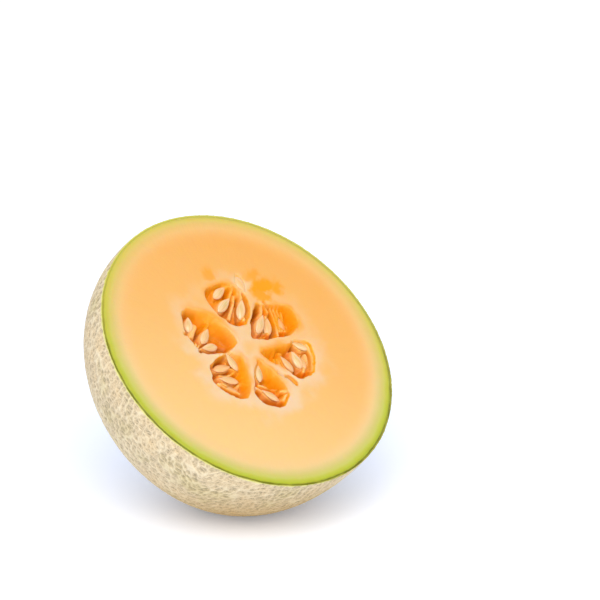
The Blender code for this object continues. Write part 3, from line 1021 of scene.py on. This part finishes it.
def make_flesh_material():
    """Rings of colour by radius, pockets of colour by depth, and both broken up by noise."""
    material, shader = new_material("wet_melon_flesh")
    place = face_coordinates(material)
    radius, towards = towards_green(material, place)
    blotches = noise(material, place, BLOTCH_SIZE, detail=3.0)
    grain = noise(material, place, GRAIN_SIZE)
    inward = sums(material, "SUBTRACT", RINGS_FROM, radius)
    inward = sums(material, "MULTIPLY_ADD", blotches, RINGS_VARY, inward)
    wide_rings = ramp_over(material, inward, 0.0, GREEN_BAND, WIDE_GREEN_STOPS)
    narrow_rings = ramp_over(material, inward, 0.0, GREEN_BAND, NARROW_GREEN_STOPS)
    rings = mix_colours(material, rescale(material, towards, -0.7, 0.35), narrow_rings, wide_rings)
    # Partly painted light: the face is paler towards its lower left.
    down_face = vectors(material, "DOT_PRODUCT", place, (-0.6, -0.8, 0.0), output="Value")
    orange = ramp_over(material, down_face, ORANGE_AND_PAINTED_LIGHT_STOPS[0][0], ORANGE_AND_PAINTED_LIGHT_STOPS[-1][0], ORANGE_AND_PAINTED_LIGHT_STOPS)
    inner_share = rescale(material, inward, 7.0, 17.0, kind="SMOOTHSTEP")
    base = mix_colours(material, inner_share, rings, orange)
    paler = mix_colours(material, read(material, "pale_ring"), base, PALE_FLESH)
    pocket_depth = read(material, "pocket_depth")
    # Partly painted shade: the pulp darkens with its depth.
    shifted = sums(material, "ADD", pocket_depth, DEPTH_SHIFT)
    uneven_depth = sums(material, "MULTIPLY_ADD", grain, DEPTH_VARIES, shifted)
    pulp = ramp_over(material, uneven_depth, PULP_LOW, PULP_HIGH, PULP_AND_DEPTH_SHADE_STOPS)
    pulp = mix_colours(material, read(material, "pale_pulp"), pulp, PALE_PULP)
    # Painted shade: the crevices darkened towards brown.
    pulp = mix_colours(material, read(material, "crevice"), pulp, PAINTED_CREVICE_SHADE)
    in_pocket = rescale(material, pocket_depth, 0.15, 0.9, kind="SMOOTHSTEP")
    pulp_share = sums(material, "MULTIPLY", in_pocket, read(material, "pulp_fade"))
    with_pulp = mix_colours(material, pulp_share, paler, pulp)
    colour = mix_colours(material, read(material, "soaked"), with_pulp, JUICE_YELLOW)
    numbers = {
        "Roughness": 0.42,
        "IOR": 1.38,
        "Specular IOR Level": 0.4,
        "Subsurface Weight": 0.5,
        "Subsurface Radius": (1.0, 0.45, 0.12),
        "Subsurface Scale": 3.5 * MM,
    }
    return dress(material, shader, colour, numbers, grain, 0.25, 0.15)


flesh = make_piece(
    "cut_flesh", flesh_points, flesh_faces, make_flesh_material(), ["melon_half"]
)
shares = {
    "pale_ring": pale_ring,
    "pulp_fade": fade,
    "pocket_depth": depth,
    "soaked": np.maximum(soaked_share(flat), 0.85 * halo),
    "pale_pulp": np.maximum(0.7 * cord_share, 0.5 * beside_seed) * (1.0 - crevice_shade_share),
    # Painted shade in the crevices.
    "crevice": 0.58 * crevice_shade_share,
}
for name, values in shares.items():
    add_attribute(flesh, name, np.concatenate([values, np.zeros(len(flesh_points) - len(top))]))

# %% [markdown]
# ## The seeds
#
# A melon seed is a flat teardrop with a blunt end, a pointed end, and a thin raised margin. Its coat
# is wet, cream, a little see-through in the middle, and finely streaked along its length.

# %% Shape of a seed
SEED_RINGS, SEED_SIDES = 40, 36
MARGIN_POWER = 0.62
END_POWER = 1.2


def seed_surface(length, width, thickness):
    """A flattened teardrop on a grid of s, from the point to the blunt end, and the turn round it.

    Its half width is the swell times w / 2. Its half thickness there falls from the middle to the
    margin as 1 minus q squared, to the 0.62, where q is the share of the half width.
    """
    s = (1.0 - np.cos(np.linspace(0.0, math.pi, SEED_RINGS + 2)[1:-1])) / 2
    turn = np.linspace(0.0, 2 * math.pi, SEED_SIDES, endpoint=False)
    swell = seed_swell(s)[:, None]
    q = np.cos(turn)
    body = np.sign(np.sin(turn)) * np.abs(1.0 - q**2) ** MARGIN_POWER
    points = np.stack(
        [
            (length * (0.5 - s))[:, None] + 0.0 * q,
            width / 2 * swell * q,
            thickness / 2 * swell**END_POWER * body,
        ],
        -1,
    ).reshape(-1, 3)
    ends = np.array([[length / 2, 0.0, 0.0], [-length / 2, 0.0, 0.0]])
    return np.concatenate([points, ends])


def seed_faces():
    """Quads between the rings, and a fan at each end."""
    rings = np.arange(SEED_RINGS * SEED_SIDES).reshape(SEED_RINGS, SEED_SIDES)
    faces = []
    for ring, following in zip(rings, rings[1:]):
        faces += join_rings(ring, following)
    point, blunt = SEED_RINGS * SEED_SIDES, SEED_RINGS * SEED_SIDES + 1
    faces += [[int(j), int(i), point] for i, j in zip(rings[0], np.roll(rings[0], -1))]
    faces += [[int(i), int(j), blunt] for i, j in zip(rings[-1], np.roll(rings[-1], -1))]
    return faces


# %% Seed coat material
# How much pulp still clings to each seed in turn, from 0 for a clean coat to 1 for a full film.
PULP_FILM = [
    0.4, 0.2, 0.2, 0.35, 0.5, 0.9, 0.3, 0.25, 0.6, 0.5,
    0.2, 0.4, 0.35, 0.8, 0.5, 0.7, 0.3, 0.5, 0.35, 0.55,
]
COAT_STOPS = [(0.3, "D7B67D"), (0.5, "E1C596"), (0.7, "E6D0AC")]
CENTRE_STOPS = [(0.3, "C1A660"), (0.55, "D0BC84"), (0.7, "DACB9D")]
FILM_ORANGE = linear("E8AC6C")
STREAKS_PER_MM = (2.2, 0.16, 1.0)
SMEAR_SIZE = 2.0


def make_seed_material():
    """Cream with a greyer middle, streaked along the seed, under an uneven orange film of pulp."""
    material, shader = new_material("wet_seed_coat")
    own = {"X": read(material, "seed_across"), "Y": read(material, "seed_along"), "Z": 0.0}
    own = add_node(material, "ShaderNodeCombineXYZ", own).outputs["Vector"]
    inputs = {"Vector": own, "Scale": STREAKS_PER_MM}
    stretched = add_node(material, "ShaderNodeMapping", inputs).outputs["Vector"]
    streaks = noise(material, stretched, 1.0)
    coat = ramp_over(material, streaks, 0.3, 0.7, COAT_STOPS)
    centre = ramp_over(material, streaks, 0.3, 0.7, CENTRE_STOPS)
    clean = mix_colours(material, read(material, "seed_middle"), coat, centre)
    smears = sums(material, "ADD", noise(material, face_coordinates(material), SMEAR_SIZE), 0.5)
    film = sums(material, "MULTIPLY", read(material, "pulp_film"), smears, use_clamp=True)
    colour = mix_colours(material, film, clean, FILM_ORANGE)
    numbers = {
        "Roughness": 0.35,
        "IOR": 1.4,
        "Subsurface Weight": 0.35,
        "Subsurface Radius": (1.0, 0.6, 0.3),
        "Subsurface Scale": 1.0 * MM,
        "Coat Weight": 0.25,
        "Coat Roughness": 0.15,
    }
    return dress(material, shader, colour, numbers, streaks, 0.3, 0.1)


# %% Make every seed
seed_material = make_seed_material()
shared_faces = seed_faces()
for (name, seed), film in zip(seeds.items(), PULP_FILM):
    length, width, thickness = seed["sizes"]
    own_points = seed_surface(length, width, thickness)
    placed = to_model(own_points @ seed["axes"] + seed["middle"])
    piece = make_piece("melon_" + name, placed, shared_faces, seed_material, [name])
    along, across = own_points[:, 0], own_points[:, 1]
    add_attribute(piece, "seed_across", across)
    add_attribute(piece, "seed_along", along)
    add_attribute(piece, "pulp_film", np.full(len(own_points), film))
    from_middle = np.hypot(across / (width / 2), along / length * 2)
    add_attribute(piece, "seed_middle", ease(0.75, 0.2, from_middle))

# %% [markdown]
# ## Floor, light and camera
#
# The half stands on a sheet of white acrylic lit from below, as for a catalogue picture, so the floor
# is white and the shadow under the fruit stays pale. One very large soft light stands on the camera's
# side, a sun forty degrees wide, and an even, slightly blue dome fills the rest.

# %% Floor
FLOOR_HALF = 6.0
corners = [(-FLOOR_HALF, -FLOOR_HALF, 0), (FLOOR_HALF, -FLOOR_HALF, 0)]
corners += [(FLOOR_HALF, FLOOR_HALF, 0), (-FLOOR_HALF, FLOOR_HALF, 0)]
floor_mesh = bpy.data.meshes.new("white_floor")
floor_mesh.from_pydata(corners, [], [(0, 1, 2, 3)])
floor_material, floor_shader = new_material("backlit_white_acrylic")
floor_look = {
    "Base Color": linear("ECF1FA"),
    "Roughness": 0.9,
    "Emission Color": linear("E8F0FF"),
    "Emission Strength": 0.22,
}
for name, value in floor_look.items():
    floor_shader.inputs[name].default_value = value
floor_mesh.materials.append(floor_material)
floor = add_object("white_floor", floor_mesh)
print("floor, metres across:", 2 * FLOOR_HALF)

# %% Light
DOME_STRENGTH, KEY_STRENGTH = 0.78, 2.55
KEY_WIDTH = math.radians(40.0)
KEY_FROM = Vector((-0.49, -0.59, 0.642))
world = bpy.data.worlds.new("studio")
world.use_nodes = True
dome = world.node_tree.nodes["Background"]
dome.inputs["Color"].default_value = linear("E2EBFF")
dome.inputs["Strength"].default_value = DOME_STRENGTH
bpy.context.scene.world = world
key_data = bpy.data.lights.new("large_soft_key", "SUN")
key_data.energy = KEY_STRENGTH
key_data.angle = KEY_WIDTH
key_data.color = linear("FFF3E2")[:3]
key = add_object("large_soft_key", key_data)
key.rotation_mode = "QUATERNION"
key.rotation_quaternion = KEY_FROM.to_track_quat("Z", "Y")
print("key light from", [round(c, 2) for c in KEY_FROM])

# %% Camera
VIEW_AZIMUTH = math.radians(-40.13)
VIEW_ELEVATION = math.radians(16.0)
CAMERA_DISTANCE = 1.5
FOCAL_LENGTH, SENSOR_WIDTH = 186.3, 36.0
CLIP_END = 50.0
AIM_RIGHT, AIM_UP = 24.42 * MM, 22.82 * MM
back = np.array(
    [
        math.sin(VIEW_AZIMUTH) * math.cos(VIEW_ELEVATION),
        -math.cos(VIEW_AZIMUTH) * math.cos(VIEW_ELEVATION),
        math.sin(VIEW_ELEVATION),
    ]
)
right = np.array([math.cos(VIEW_AZIMUTH), math.sin(VIEW_AZIMUTH), 0.0])
up = np.cross(back, right)
aim = face_centre + AIM_RIGHT * right + AIM_UP * up
camera_data = bpy.data.cameras.new("photo_view")
camera_data.lens = FOCAL_LENGTH
camera_data.sensor_width = SENSOR_WIDTH
camera_data.clip_end = CLIP_END
camera = add_object("photo_view", camera_data)
camera.matrix_world = Matrix(np.column_stack([right, up, back]).tolist()).to_4x4()
camera.location = aim + CAMERA_DISTANCE * back
bpy.context.scene.camera = camera
bpy.context.scene.view_settings.view_transform = "Standard"
print("camera at", [round(c, 3) for c in camera.location])
